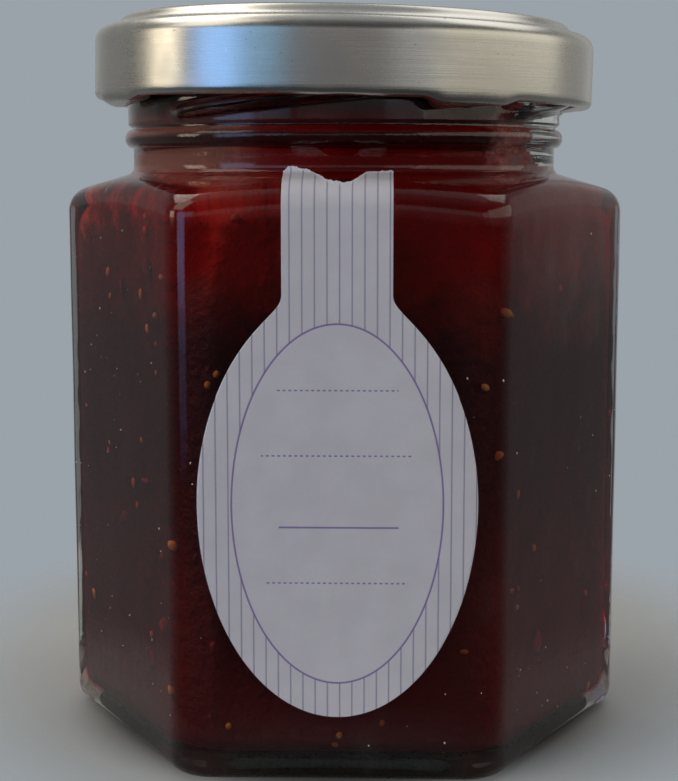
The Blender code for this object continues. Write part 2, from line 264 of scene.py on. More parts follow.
def outside_rows():
    """The jar's outside, from the middle of its underside to the rim."""
    inner_edge = heel_radius + bearing_width
    underside = [
        (inner_edge + 9 * mm, push_up_depth * 1.15),
        (inner_edge + 2.2 * mm, push_up_depth),
        (inner_edge + 1.2 * mm, push_up_depth * 0.8),
        (inner_edge + 0.5 * mm, push_up_depth * 0.25),
        (inner_edge, 0.0),
    ]
    for step in range(heel_steps + 1):
        turn = math.pi / 2 * step / heel_steps
        underside.append((heel_radius * (1 - math.sin(turn)), heel_radius * (1 - math.cos(turn))))
    rows = [ring(lambda angle: (wall_radius(angle) - inset, height)) for inset, height in underside]
    outside = (0.0, corner_radius, shoulder_fillet, neck_radius, neck_foot, neck_fillet)
    rows += shell_rows(*outside, heel_radius, outer_wall_steps)
    for step in range(bead_steps + 1):
        turn = math.pi * (step / bead_steps - 0.5)
        swell = neck_radius + bead_proud * math.cos(turn)
        rows.append(round_ring(swell, bead_height + bead_half * math.sin(turn)))
    for step in range(finish_steps + 1):
        height = blend(finish_foot, finish_top, step / finish_steps)
        rows.append(ring(lambda angle: (finish_radius + thread_height(angle, height), height), 1.0))
    middle, half = (finish_radius + bore_radius) / 2, (finish_radius - bore_radius) / 2
    for step in range(1, rim_steps):
        turn = math.pi * step / rim_steps
        rows.append(
            round_ring(middle + half * math.cos(turn), blend(finish_top, rim_height, math.sin(turn)))
        )
    return rows


def inside_rows(gap):
    """The jar's inside, from the floor up to the foot of the bore, drawn in by a gap."""
    inset, corner, heel = wall_thickness + gap, inner_corner - gap, inner_heel - gap
    foot = (
        neck_foot
        + math.tan(shoulder_pitch) * (neck_radius - bore_radius)
        - wall_thickness / math.cos(shoulder_pitch)
        - gap
    )
    floor = floor_height + gap
    rows = []
    for share in (0.3, 0.55, 0.72):
        height = floor + blend(floor_dome, 0.0, ease((share - 0.3) / 0.55))
        rows.append(ring(lambda angle: (share * wall_radius(angle, inset, corner), height)))
    for step in range(inner_heel_steps + 1):
        turn = math.pi / 2 * step / inner_heel_steps
        back, height = heel * (1 - math.sin(turn)), floor + heel * (1 - math.cos(turn))
        rows.append(ring(lambda angle: (wall_radius(angle, inset, corner) - back, height)))
    inside = (inset, corner, inner_fillet - gap, bore_radius - gap, foot, inner_neck_fillet)
    return rows + shell_rows(*inside, floor + heel, inner_wall_steps)


def rippled(rows):
    """The same rings with their upright walls moved in and out by a slow noise."""
    made = []
    for row in rows:
        points = []
        for x, y, z in row:
            wave = noise.noise(Vector((x, y, z)) / ripple_size)
            swell = wave * ripple_depth * ease((neck_foot - z) / (5 * mm))
            scale = 1 + swell * ease(z / (3 * mm)) / math.hypot(x, y)
            points.append((x * scale, y * scale, z))
        made.append(points)
    return made


glass_rows = rippled(outside_rows())
rim_row = len(glass_rows)
bore_foot = inside_rows(0.0)[-1][0][2]
for step in range(bore_steps):
    glass_rows.append(round_ring(bore_radius, blend(finish_top, bore_foot, step / bore_steps)))
glass_rows += reversed(inside_rows(0.0))
glass = skin("jar_glass", glass_rows)


def joined(operation, turned=False):
    """An operator of Wire that adds one Math node, with its two sides turned round or not."""

    def operator(wire, other):
        pair = (other, wire) if turned else (wire, other)
        return wire.nodes.math(operation, *pair)

    return operator


class Wire:
    """One output of a node. A sum written with it adds Math nodes to the same tree."""

    def __init__(self, nodes, socket):
        self.nodes = nodes
        self.socket = socket

    def math(self, operation, *others):
        return self.nodes.math(operation, self, *others)

    __add__ = __radd__ = joined("ADD")
    __mul__ = __rmul__ = joined("MULTIPLY")
    __sub__, __rsub__ = joined("SUBTRACT"), joined("SUBTRACT", turned=True)
    __truediv__, __rtruediv__ = joined("DIVIDE"), joined("DIVIDE", turned=True)
    __pow__ = joined("POWER")


class Nodes:
    """A node tree in the making: one way to add any node, and short names for the usual ones."""

    def __init__(self, tree):
        self.tree = tree

    def feed(self, socket, value):
        if isinstance(value, Wire):
            self.tree.links.new(value.socket, socket)
        elif socket.type == "RGBA":
            socket.default_value = (*value, 1.0)
        else:
            socket.default_value = value

    def node(self, kind, settings, sockets, output=0):
        """Adds a node, with its settings first, and gives one of its outputs."""
        made = self.tree.nodes.new(kind)
        for title, value in settings.items():
            setattr(made, title, value)
        for title, value in sockets.items():
            self.feed(made.inputs[title], value)
        return Wire(self, made.outputs[output])

    def math(self, operation, *values):
        return self.node("ShaderNodeMath", {"operation": operation}, dict(enumerate(values)))

    def along(self, vector, axis):
        """One of a vector's three numbers."""
        return self.node("ShaderNodeSeparateXYZ", {}, {"Vector": vector}, axis)

    def grain(self, vector, size, detail=2.0, roughness=0.5):
        """Noise from 0 to 1 whose features are about size long."""
        sockets = {"Vector": vector, "Scale": 1 / size, "Detail": detail, "Roughness": roughness}
        return self.node("ShaderNodeTexNoise", {}, sockets, "Fac")

    def step(self, value, low, high):
        """0 below low and 1 above high, with a smooth rise between them."""
        sockets = {"Value": value, "From Min": low, "From Max": high}
        return self.node("ShaderNodeMapRange", {"interpolation_type": "SMOOTHSTEP"}, sockets)

    def band(self, value, low, high, soft):
        """1 between low and high, and 0 outside them, with soft edges that lie inside the band."""
        return self.step(value, low, low + soft) * (1.0 - self.step(value, high - soft, high))

    def mixed(self, share, first, second):
        """A colour between two."""
        return self.node("ShaderNodeMix", {"data_type": "RGBA"}, {0: share, 6: first, 7: second}, 2)

    def either(self, share, first, second):
        """A shader between two."""
        return self.node("ShaderNodeMixShader", {}, {0: share, 1: first, 2: second})


class Finish(Nodes):
    """A material in the making, with its Principled shader."""

    def __init__(self, name, **plain):
        self.material = bpy.data.materials.new(name)
        self.material.use_nodes = True
        super().__init__(self.material.node_tree)
        self.shader = self.tree.nodes["Principled BSDF"]
        self.output = self.tree.nodes["Material Output"]
        self.set(**plain)

    def set(self, **sockets):
        for title, value in sockets.items():
            self.feed(self.shader.inputs[title.replace("_", " ")], value)

    def place(self):
        return self.node("ShaderNodeTexCoord", {}, {}, "Object")

    def attribute(self, name):
        """A number that the mesh keeps for each point."""
        return self.node("ShaderNodeAttribute", {"attribute_name": name}, {}, "Fac")

    def relief(self, height, depth, under=None):
        """A bump of a height from 0 to 1, depth metres deep."""
        sockets = {"Height": height, "Distance": depth}
        if under is not None:
            sockets["Normal"] = under
        return self.node("ShaderNodeBump", {}, sockets)

    def overlay(self, share, other):
        """Lets another shader show through by a share."""
        body = Wire(self, self.shader.outputs[0])
        self.feed(self.output.inputs["Surface"], self.either(share, body, other))


def glass_finish():
    """Clear glass with finger haze, settled dust and the mould's faint waviness."""
    look = Finish("clear pressed glass", Transmission_Weight=1.0, IOR=1.5)
    place = look.place()
    across, up = look.along(place, "X"), look.along(place, "Z")
    smudge = look.grain(place, 9 * mm, 4.0, 0.6)
    fine = look.grain(place, 0.5 * mm, 2.0)
    above_base = look.step(up, 3 * mm, 9 * mm)
    look.set(
        Base_Color=look.mixed(above_base, (0.74, 0.91, 0.82), (0.91, 0.975, 0.945)),
        Roughness=0.012 + look.step(smudge, 0.5, 0.75) * 0.05,
        Normal=look.relief(look.grain(place, 5 * mm, 1.0), 0.05 * mm),
    )
    dust = look.node("ShaderNodeBsdfDiffuse", {}, {"Color": (0.62, 0.6, 0.6), "Roughness": 0.5})
    speck = look.step(fine, 0.72, 0.76) * look.step(smudge, 0.45, 0.6)
    stretch = {0: place, 1: (1.0, 1.0, 0.3)}
    wiped = look.grain(
        look.node("ShaderNodeVectorMath", {"operation": "MULTIPLY"}, stretch), 4 * mm, 3.0, 0.6
    )
    streaks = look.step(wiped, 0.5, 0.75) * look.step(smudge, 0.4, 0.7)
    right = look.step(across, 15 * mm, 21 * mm)
    upper = look.step(up + smudge * 14 * mm, 52 * mm, 66 * mm)
    mist = look.step(across, 18 * mm, 27 * mm) * upper * (wiped * 0.9 + 0.1)
    look.overlay(streaks * (right * 0.03 + 0.02) + speck * 0.2 + mist * 0.13 + 0.001, dust)
    return look.material


glass.data.materials.append(glass_finish())
glass.visible_shadow = False
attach(glass, "jar")
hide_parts("glass_jar")


# The jam fills the jar to the neck and wets the glass. It is a clear dark red jelly round soft fruit,
# and a spoon has been in it: it has sunk on the right, where the neck shows empty glass.

jam_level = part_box("jam")[1][2]
heap = 1.7 * mm
surface_lumps, surface_lump_size = 0.6 * mm, 4 * mm
hollow_side = front + math.radians(80)
hollow_width = math.radians(24)
hollow_depth = 7.0 * mm
hollow_start, hollow_slope = 11 * mm, 9 * mm
wetting = -0.05 * mm
curl_up = 0.5 * mm


def jam_top(angle, radius):
    """Height of the jam's surface."""
    off_side = (angle - hollow_side + math.pi) % (2 * math.pi) - math.pi
    dug = ease(1.35 - abs(off_side) / hollow_width) * ease((radius - hollow_start) / hollow_slope)
    place = Vector((radius * math.cos(angle), radius * math.sin(angle), 0.0)) / surface_lump_size
    return jam_level + heap * (1 - dug) - hollow_depth * dug + noise.noise(place) * surface_lumps


def jam_rows(gap):
    """The filling's rings, with its uneven surface at the top."""
    rows = inside_rows(gap)
    bore = bore_radius - gap
    foot = rows[-1][0][2]
    for share in (0.25, 0.5, 0.75, 1.0):
        rows.append(ring(lambda angle: (bore, blend(foot, jam_top(angle, bore) - gap, share)), 1.0))
    for share in (0.98, 0.95, 0.9, 0.8, 0.7, 0.6, 0.45, 0.3, 0.12):
        reach = bore * share
        curl = curl_up * ease((1 - share) / 0.08)
        rows.append(ring(lambda angle: (reach, jam_top(angle, reach) - gap - curl), 1.0))
    return rows


def jelly_finish(name, index, roughness):
    """Clear red jelly. Where it wets the glass its index against the glass is about 1."""
    look = Finish(name, Transmission_Weight=1.0, IOR=index, Roughness=roughness)
    cloud = look.grain(look.place(), 3 * mm, 2.0)
    look.set(
        Base_Color=look.mixed(cloud, (1.0, 0.86, 0.84), (1.0, 0.95, 0.93)),
        Normal=look.relief(cloud, 0.15 * mm),
    )
    depth_colour = {"Color": (0.93, 0.04, 0.05), "Density": 900.0}
    look.feed(look.output.inputs["Volume"], look.node("ShaderNodeVolumeAbsorption", {}, depth_colour))
    return look.material


jelly = skin("jam_jelly", jam_rows(wetting))
jelly.data.materials.append(jelly_finish("fig jelly", 1.0, 0.0))
jelly.data.materials.append(jelly_finish("fig jelly surface", 1.38, 0.08))
for face in jelly.data.polygons:
    if face.center.z > jam_level - hollow_depth - 2 * mm and face.normal.z > 0.45:
        face.material_index = 1
jelly.visible_shadow = False

wet_look = Finish("wetted glass", Transmission_Weight=1.0, IOR=1.0, Roughness=0.0)
wet_cloud = wet_look.grain(wet_look.place(), 6 * mm)
wet_look.set(Base_Color=wet_look.mixed(wet_cloud, (0.97, 0.99, 0.98), (1.0, 1.0, 1.0)))
# Painted shade: the underside's glass is tinted dark grey so that the band at the jar's foot reads dark, as
# in the shade under the jar; its stippling is the grain in its roughness.
base_look = Finish("stippled base glass", Transmission_Weight=1.0, IOR=1.5)
base_look.set(
    Base_Color=(0.27, 0.25, 0.235),
    Roughness=base_look.grain(base_look.place(), 0.4 * mm) * 0.3 + 0.15,
)
glass.data.materials.append(wet_look.material)
glass.data.materials.append(base_look.material)
wetted, stippled = 1, 2
wet_foot, wet_margin = 2.2 * mm, 0.2 * mm
for face in glass.data.polygons:
    if face.center.z < 2 * mm and face.normal.z < -0.7:
        face.material_index = stippled
for face in glass.data.polygons[rim_row * around :]:
    reach = face.center.xy.length
    turn = math.atan2(face.center.y, face.center.x)
    if wet_foot < face.center.z < jam_top(turn, reach) - wet_margin:
        face.material_index = wetted
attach(jelly, "jar")
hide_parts("jam")


# The fruit is boiled down to a dark pulp that nearly fills the jelly. It stays back from the glass by
# a few millimetres under the shoulder, where the light comes in from above; the jam's red glow there
# is painted into the pulp's colour. It is pressed on the glass in the jar's corners, near the floor
# and on the left of the neck.

lump_size, crumb_size = 6 * mm, 2.4 * mm
pulp_back, pulp_swing, shoulder_back = 1.5, 0.9, 1.5 * mm
neck_press, corner_press = 0.1 * mm, 0.35 * mm
pulp_sag = 0.8 * mm


def pulp_gap(x, y, z):
    """How far the pulp stays back from the glass at a point."""

    def beyond(value, start, fade):
        return ease((value - start * mm) / (fade * mm))

    place = Vector((x, y, z))
    lumps = noise.noise(place / lump_size) + 0.5 * noise.noise(place / crumb_size)
    back = (pulp_back + pulp_swing * lumps) * mm + shoulder_back * beyond(z, 50, 12)
    left_neck = beyond(z, 64, 4) * beyond(-x, 4, 9) * beyond(-y, 0, 4)
    back = blend(back, neck_press, left_neck)
    off_corner = abs((math.atan2(y, x) - front) % sector - sector / 2)
    press_top = 66 if abs(x) > 24 * mm else 60
    near_corner = ease(1.3 - off_corner / math.radians(7)) * beyond(-z, -press_top, 6)
    return max(0.0, blend(back, corner_press, max(near_corner, beyond(-z, -14, 8))))


pulp_rows = []
for row in jam_rows(0.3 * mm):
    points = []
    for x, y, z in row:
        reach = max(math.hypot(x, y), 1e-6)
        keep = max(0.05, 1 - pulp_gap(x, y, z) * ease(reach / (12 * mm)) / reach)
        points.append((x * keep, y * keep, z - (pulp_sag if z > 66 * mm else 0.0)))
    pulp_rows.append(points)
pulp = skin("jam_pulp", pulp_rows)


def pulp_finish():
    """Dark fruit with painted light and shade in its colour: a red glow near the top where light comes in
    from above, a pale warm glow on the left of the neck, shade under the lid, a dark band behind the bead
    and shade on the left side.
    """
    look = Finish("fig pulp", IOR=1.4, Subsurface_Weight=0.15, Subsurface_Scale=1.5 * mm)
    place = look.place()
    across, up = look.along(place, "X"), look.along(place, "Z")
    patch = look.grain(place, 5 * mm, 5.0, 0.6)
    broken = up + (patch - 0.5) * 22 * mm
    # Painted light: the pulp turns bright red towards the top, standing in for the glow where light comes
    # in through the shoulder.
    painted_top_glow = look.step(broken, 47 * mm, 66 * mm)
    low = 1.0 - look.step(broken, 16 * mm, 36 * mm)
    # Painted light: a pale warm patch on the left of the neck stands in for light glowing through the thin
    # jam there.
    painted_neck_glow = look.step(broken, 61 * mm, 67 * mm) * (1.0 - look.step(across, -16 * mm, 2 * mm))
    # Painted shade: the pulp is darkened above 73 mm, where the lid shades the jam.
    shade = 1.0 - look.step(up, 73 * mm, 75.5 * mm) * 0.42
    # Painted shade: a dark band in the pulp between 71.6 and 74.2 mm makes the lower half of the neck's
    # bead read dark.
    painted_dark_band = look.band(up, 71.6 * mm, 74.2 * mm, 0.6 * mm)
    # Painted shade: the pulp is darkened towards the left side, as if less light fell there.
    beside = look.step(across * -1.0, 11 * mm, 22 * mm) * 0.7
    fruit = look.mixed(low, (0.035, 0.004, 0.007), (0.14, 0.022, 0.022))
    fruit = look.mixed(painted_top_glow, fruit, (0.55, 0.042, 0.018))
    fruit = look.mixed(beside, fruit, (0.03, 0.004, 0.008))
    fruit = look.mixed(painted_neck_glow * 0.9, fruit, (0.96, 0.58, 0.42))
    look.set(
        Base_Color=look.mixed(shade - painted_dark_band * 0.9, (0.02, 0.003, 0.004), fruit),
        Roughness=0.35 + patch * 0.3,
        Normal=look.relief(look.grain(place, 1.2 * mm, 4.0), 0.6 * mm),
    )
    return look.material


pulp.data.materials.append(pulp_finish())
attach(pulp, "jar")


# Fig seeds lie through the jelly: pale orange grains a little over a millimetre long, in clumps as
# the flesh broke up, with the outer ones against the glass.


class Growth(Nodes):
    """A geometry node group in the making, with named inputs and a last node that sets a material."""

    def __init__(self, name):
        super().__init__(bpy.data.node_groups.new(name, "GeometryNodeTree"))
        for way in ("INPUT", "OUTPUT"):
            self.tree.interface.new_socket("Geometry", in_out=way, socket_type="NodeSocketGeometry")
        self.start = self.tree.nodes.new("NodeGroupInput")
        self.host = Wire(self, self.start.outputs["Geometry"])
        self.values = {}

    def input(self, name, value):
        """A named input, with the value that this use of the tree gives it."""
        socket = self.tree.interface.new_socket(name, in_out="INPUT", socket_type="NodeSocketFloat")
        self.values[socket.identifier] = value
        return Wire(self, self.start.outputs[name])

    def random(self, low, high, seed):
        sockets = {2: low, 3: high, "Seed": seed}
        return self.node("FunctionNodeRandomValue", {"data_type": "FLOAT"}, sockets, 1)

    def finish(self, geometry, material):
        """Ends the tree: copies made real, then the material."""
        real = self.node("GeometryNodeRealizeInstances", {}, {"Geometry": geometry})
        painted = self.node("GeometryNodeSetMaterial", {}, {"Geometry": real, "Material": material})
        self.feed(self.tree.nodes.new("NodeGroupOutput").inputs["Geometry"], painted)


def grown(name, host, tree):
    """The plain mesh that a tree makes on a copy of a host piece."""
    base = placed(name, host.data.copy())
    modifier = base.modifiers.new("grow", "NODES")
    modifier.node_group = tree.tree
    for identifier, value in tree.values.items():
        modifier[identifier] = value
    bpy.context.view_layer.update()
    evaluated = base.evaluated_get(bpy.context.evaluated_depsgraph_get())
    mesh = bpy.data.meshes.new_from_object(evaluated)
    base.modifiers.remove(modifier)
    base.data = mesh
    mesh.shade_smooth()
    return base


def strewn(name, host, material, density, size, flatness, depths, top, clump, seed):
    """Grains in clumps under a host's surface: each is a squashed ball with its own turn and shade."""
    tree = Growth(name)
    per_area = tree.input("Grains for each square metre", density)
    length = tree.input("Grain length", size)
    near = tree.input("Least depth", depths[0])
    far = tree.input("Most depth", depths[1])
    ceiling = tree.input("Top height", top)
    clumping = tree.input("Clump size", clump)

    clouds = tree.node("ShaderNodeTexNoise", {}, {"Scale": 1.0 / clumping, "Detail": 1.0}, "Fac")
    clumped = tree.node("ShaderNodeMapRange", {}, {"Value": clouds, "From Min": 0.45, "From Max": 0.7})
    height = tree.along(tree.node("GeometryNodeInputPosition", {}, {}), "Z")
    thick = clumped * height.math("LESS_THAN", ceiling) * per_area
    points = tree.node(
        "GeometryNodeDistributePointsOnFaces",
        {"distribute_method": "RANDOM"},
        {"Mesh": tree.host, "Density": thick, "Seed": seed},
        "Points",
    )
    outwards = Wire(tree, points.socket.node.outputs["Normal"])
    inwards = tree.random(near, far, seed + 1) * -1.0
    offset = tree.node("ShaderNodeVectorMath", {"operation": "SCALE"}, {0: outwards, "Scale": inwards})
    sunk = tree.node("GeometryNodeSetPosition", {}, {"Geometry": points, "Offset": offset})
    ball = tree.node("GeometryNodeMeshIcoSphere", {}, {"Radius": 0.5, "Subdivisions": 2})
    squash = (1.0, 0.78, flatness)
    grain = tree.node("GeometryNodeTransform", {}, {"Geometry": ball, "Scale": squash})
    full_turn = 2 * math.pi
    turn = tree.node(
        "FunctionNodeRandomValue",
        {"data_type": "FLOAT_VECTOR"},
        {0: (0.0, 0.0, 0.0), 1: (full_turn, full_turn, full_turn), "Seed": seed + 2},
    )
    scale = tree.random(0.7, 1.25, seed + 3) * length
    grains = tree.node(
        "GeometryNodeInstanceOnPoints",
        {},
        {"Points": sunk, "Instance": grain, "Rotation": turn, "Scale": scale},
    )
    shaded = tree.node(
        "GeometryNodeStoreNamedAttribute",
        {"data_type": "FLOAT", "domain": "INSTANCE"},
        {"Geometry": grains, "Name": "shade", "Value": tree.random(0.0, 1.0, seed + 4)},
    )
    tree.finish(shaded, material)
    return grown(name, host, tree)


seed_look = Finish("fig seed", Roughness=0.4, Subsurface_Weight=0.2, Subsurface_Scale=0.5 * mm)
seed_look.set(
    Base_Color=seed_look.mixed(seed_look.attribute("shade"), (0.55, 0.17, 0.03), (0.95, 0.48, 0.12)),
    Normal=seed_look.relief(seed_look.grain(seed_look.place(), 0.3 * mm), 0.05 * mm),
)
seeds = strewn(
    "fig_seeds",
    jelly,
    seed_look.material,
    density=34000.0,
    size=1.15 * mm,
    flatness=0.65,
    depths=(0.45 * mm, 2.4 * mm),
    top=68 * mm,
    clump=8 * mm,
    seed=7,
)
near_seed_radius = 0.62 * mm
near_seeds = [
    *((-18.7, -21.5, 52.0), (-15.7, -25.8, 52.4), (-19.9, -19.6, 50.3), (-17.7, -23.2, 56.4)),
    *((-13.4, -26.9, 46.0), (-15.4, -26.1, 17.4), (14.1, -26.8, 14.8), (-12.4, -26.9, 5.9)),
    *((-17.3, -24.0, 9.1), (-11.2, -26.6, 4.4), (0.1, -26.9, 4.9), (-17.1, -24.4, 26.2)),
]
seed_mesh = bmesh.new()
seed_mesh.from_mesh(seeds.data)
seed_slot = seeds.data.polygons[0].material_index
seed_tone = seed_mesh.verts.layers.float["shade"]
seed_shape = Matrix.Diagonal((1.0, 0.75, 0.65, 1.0))
for number, place in enumerate(near_seeds):
    turned = Matrix.Translation(Vector(place) * mm) @ Matrix.Rotation(number * 2.1, 4, (0.3, 0.8, 0.5))
    made = bmesh.ops.create_icosphere(
        seed_mesh, subdivisions=2, radius=near_seed_radius, matrix=turned @ seed_shape
    )
    for corner in made["verts"]:
        corner[seed_tone] = 0.25 + 0.6 * (number % 3) / 2
        for face in corner.link_faces:
            face.material_index = seed_slot
seed_mesh.to_mesh(seeds.data)
seed_mesh.free()
seeds.data.shade_smooth()
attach(seeds, "jar")


# Shreds of fig skin hang in the jelly among the seeds: soft brown-red flakes of a few millimetres,
# cooked until their edges have gone ragged.

shred_look = Finish("fig skin", Roughness=0.45, Subsurface_Weight=0.2, Subsurface_Scale=1.0 * mm)
shred_look.set(
    Base_Color=shred_look.mixed(shred_look.attribute("shade"), (0.15, 0.014, 0.014), (0.32, 0.035, 0.02)),
    Normal=shred_look.relief(shred_look.grain(shred_look.place(), 0.8 * mm, 3.0), 0.2 * mm),
)
shreds = strewn(
    "fig_skin_shreds",
    jelly,
    shred_look.material,
    density=4500.0,
    size=2.8 * mm,
    flatness=0.25,
    depths=(1.2 * mm, 2.2 * mm),
    top=60 * mm,
    clump=14 * mm,
    seed=23,
)
ragged_size, ragged_depth = 1.1 * mm, 0.6
noise.seed_set(23)
for corner in shreds.data.vertices:
    corner.co += noise.noise_vector(corner.co / ragged_size) * ragged_depth * mm
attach(shreds, "jar")


# On the right of the neck the spoon has left a dried smear inside the glass: a pale wrinkled skin
# of sugar and fruit, thin enough to see through.

smear_middle = front + math.radians(68)
smear_half = math.radians(27)
smear_low, smear_high = 67.2 * mm, 80.5 * mm
smear_columns, smear_rows = 90, 80
smear_gap, smear_thickness = 0.15 * mm, 0.12 * mm
crease_depth, wrinkle_depth = 0.35 * mm, 0.12 * mm


def smear_point(column, row, lift):
    """A point of the smear on the inside of the bore, lifted off the glass."""
    across = 2 * column / smear_columns - 1
    up = row / smear_rows
    ragged = 1 + 0.35 * noise.noise(Vector((0.0, up * 6, 3.0)))
    angle = smear_middle + smear_half * across * ragged
    height = blend(smear_low, smear_high, up)
    fold = noise.noise(Vector((angle * 9, height / (3 * mm), 0.0)))
    fine = noise.noise(Vector((angle * 30, height / (1.1 * mm), 5.0)))
    creases = crease_depth * (1 - abs(fold) * 2.2) + wrinkle_depth * fine
    radius = bore_radius - smear_gap - max(0.0, creases) - lift
    return (radius * math.cos(angle), radius * math.sin(angle), height)


smear_points = []
for lift in (0.0, smear_thickness):
    for row in range(smear_rows + 1):
        smear_points += [smear_point(column, row, lift) for column in range(smear_columns + 1)]
smear_faces = []
width = smear_columns + 1
sheet_points = width * (smear_rows + 1)
for outer in grid_faces(smear_columns, smear_rows):
    smear_faces += [outer, tuple(sheet_points + point for point in reversed(outer))]
rim = [row * width for row in range(smear_rows, -1, -1)]
rim += list(range(1, width))
rim += [row * width + smear_columns for row in range(1, smear_rows + 1)]
rim += [smear_rows * width + column for column in range(smear_columns - 1, 0, -1)]
for here, beside in zip(rim, rim[1:] + rim[:1]):
    smear_faces.append((beside, here, here + sheet_points, beside + sheet_points))
smear = surface("dried_smear", smear_points, smear_faces)
smear_look = Finish("dried fruit skin", Roughness=0.35, IOR=1.4)
smear_place = smear_look.place()
smear_patch = smear_look.grain(smear_place, 2.5 * mm, 4.0, 0.6)
broken_edge = smear_look.along(smear_place, "X") + (smear_patch - 0.5) * 4 * mm
smear_pale = smear_look.step(smear_patch, 0.35, 0.65)
smear_cover = smear_look.step(smear_patch, 0.32, 0.60) * 0.5 + 0.5
smear_look.set(
    Base_Color=smear_look.mixed(smear_pale, (0.38, 0.10, 0.09), (0.85, 0.56, 0.52)),
    Alpha=smear_cover * smear_look.step(broken_edge, 15.5 * mm, 20 * mm),
    Normal=smear_look.relief(smear_look.grain(smear_place, 0.7 * mm, 3.0), 0.2 * mm),
)
smear.data.materials.append(smear_look.material)
smear.visible_shadow = False
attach(smear, "jar")


# Dust and a few dried splashes stick to the outside of the glass as tiny pale specks. They gather in
# patches below the shoulder, where hands and cloths have left the glass a little greasy.

dust_look = Finish("dust speck", Base_Color=(0.78, 0.76, 0.72), Roughness=0.8)
dust_look.set(Normal=dust_look.relief(dust_look.grain(dust_look.place(), 0.05 * mm), 0.02 * mm))
dust = strewn(
    "dust_specks",
    glass,
    dust_look.material,
    density=20000.0,
    size=0.26 * mm,
    flatness=0.5,
    depths=(-0.03 * mm, 0.03 * mm),
    top=66 * mm,
    clump=16 * mm,
    seed=41,
)
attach(dust, "jar")


# The label is one piece of paper, cut as an oval with a seal strip that runs over the shoulder and up
# the neck. The strip was torn across when the jar was opened. It is printed with fine upright
# pinstripes, an oval frame line and plain ruled lines, and glued on.

label_middle = 32.0 * mm
label_half_width = 15.35 * mm
label_below = 24.05 * mm
label_above = 23.0 * mm
strip_half_width = 6.0 * mm
strip_blend = 5.0
strip_foot = 44.0 * mm
tear_foot = 65.5 * mm
least_half_width = 0.25 * mm
paper_lift = 0.06 * mm
paper_thickness = 0.2 * mm
paper_swell, paper_swell_size = 0.03 * mm, 4 * mm
fray_lift, fray_length = 0.1 * mm, 0.5 * mm
torn_width = 0.45 * mm
paper_columns, paper_rows, tear_rows = 112, 150, 44

tear_points = [
    *((-6.0, 71.0), (-5.4, 71.8), (-4.3, 71.4), (-3.0, 70.7), (-1.9, 68.7), (-1.3, 67.7), (-0.4, 67.3)),
    *((0.6, 67.1), (1.5, 67.2), (2.1, 68.1), (3.0, 70.2), (4.1, 70.6), (5.7, 71.1), (6.0, 70.9)),
]


def tear_length(across):
    """How far up the glass the torn edge lies, with its ragged fibres."""
    reach = across / mm
    for (x0, z0), (x1, z1) in zip(tear_points, tear_points[1:]):
        if reach <= x1:
            break
    share = min(1.0, max(0.0, (reach - x0) / (x1 - x0)))
    fibres = 0.20 * noise.noise(Vector((reach * 2.6, 1.5, 0.0)))
    fibres += 0.16 * noise.noise(Vector((reach * 7.0, 8.5, 0.0)))
    return (blend(z0, z1, share) + fibres) * mm


def label_reach(length):
    """Half the label's width at a length: the oval, blended into the strip above it."""
    reach = label_above if length > label_middle else label_below
    share = min(1.0, abs(length - label_middle) / reach)
    oval = label_half_width * math.sqrt(1 - share**2)
    if length < strip_foot:
        return oval
    return (oval**strip_blend + strip_half_width**strip_blend) ** (1 / strip_blend)


def glass_meridian(angle):
    """Radius and height up the outside of the glass, from the wall to the neck."""
    points = [(wall_radius(angle), 0.0)]
    for step in range(25):
        points.append(
            fillet_point(angle, step / 24, 0.0, corner_radius, shoulder_fillet, neck_radius, neck_foot)
        )
    for step in range(13):
        points.append(foot_point(step / 12, neck_fillet, neck_radius, neck_foot))
    points.append((neck_radius, bead_height))
    return points


def on_glass(across, length, lift):
    """The point lifted off the front of the glass, at a distance across and a length up it."""
    angle = front
    for _ in range(4):
        left = length
        line = glass_meridian(angle)
        for (r0, z0), (r1, z1) in zip(line, line[1:]):
            step = math.hypot(r1 - r0, z1 - z0)
            if left <= step:
                break
            left -= step
        share = left / step
        radius, height = blend(r0, r1, share), blend(z0, z1, share)
        out = ((z1 - z0) / step, (r0 - r1) / step)
        angle = front + math.asin(across / radius)
    radius += lift * out[0]
    return (radius * math.cos(angle), radius * math.sin(angle), height + lift * out[1])


flat_places = []
for row in range(paper_rows + 1):
    turn = math.pi * row / paper_rows
    if turn < math.pi / 2:
        foot = label_middle - label_below * math.cos(turn)
    else:
        foot = blend(label_middle, tear_foot, (turn - math.pi / 2) / (math.pi / 2))
    reach = max(least_half_width, label_reach(foot))
    for column in range(paper_columns + 1):
        flat_places.append((reach * (2 * column / paper_columns - 1), foot))
for row in range(1, tear_rows + 1):
    for column in range(paper_columns + 1):
        across = strip_half_width * (2 * column / paper_columns - 1)
        flat_places.append((across, blend(tear_foot, tear_length(across), row / tear_rows)))

paper_points = []
for across, length in flat_places:
    swell = paper_swell * (1 + noise.noise(Vector((across, length, 0.0)) / paper_swell_size))
    fray = 0.0
    if length > tear_foot:
        fray = ease((length - tear_length(across) + fray_length) / fray_length)
    paper_points.append(on_glass(across, length, paper_lift + swell + fray_lift * fray))
label = surface("paper_label", paper_points, grid_faces(paper_columns, paper_rows + tear_rows))
sheet_map = label.data.uv_layers.new(name="sheet")
for loop in label.data.loops:
    across, length = flat_places[loop.vertex_index]
    sheet_map.data[loop.index].uv = (across / mm, length / mm)
torn = label.data.attributes.new("torn", "FLOAT", "POINT")
for number, (across, length) in enumerate(flat_places):
    torn.data[number].value = ease((length - tear_length(across) + torn_width) / torn_width)
thick = label.modifiers.new("paper", "SOLIDIFY")
thick.thickness = paper_thickness
thick.offset = 1.0
solid_paper = label.evaluated_get(bpy.context.evaluated_depsgraph_get())
label.data = bpy.data.meshes.new_from_object(solid_paper)
label.modifiers.clear()

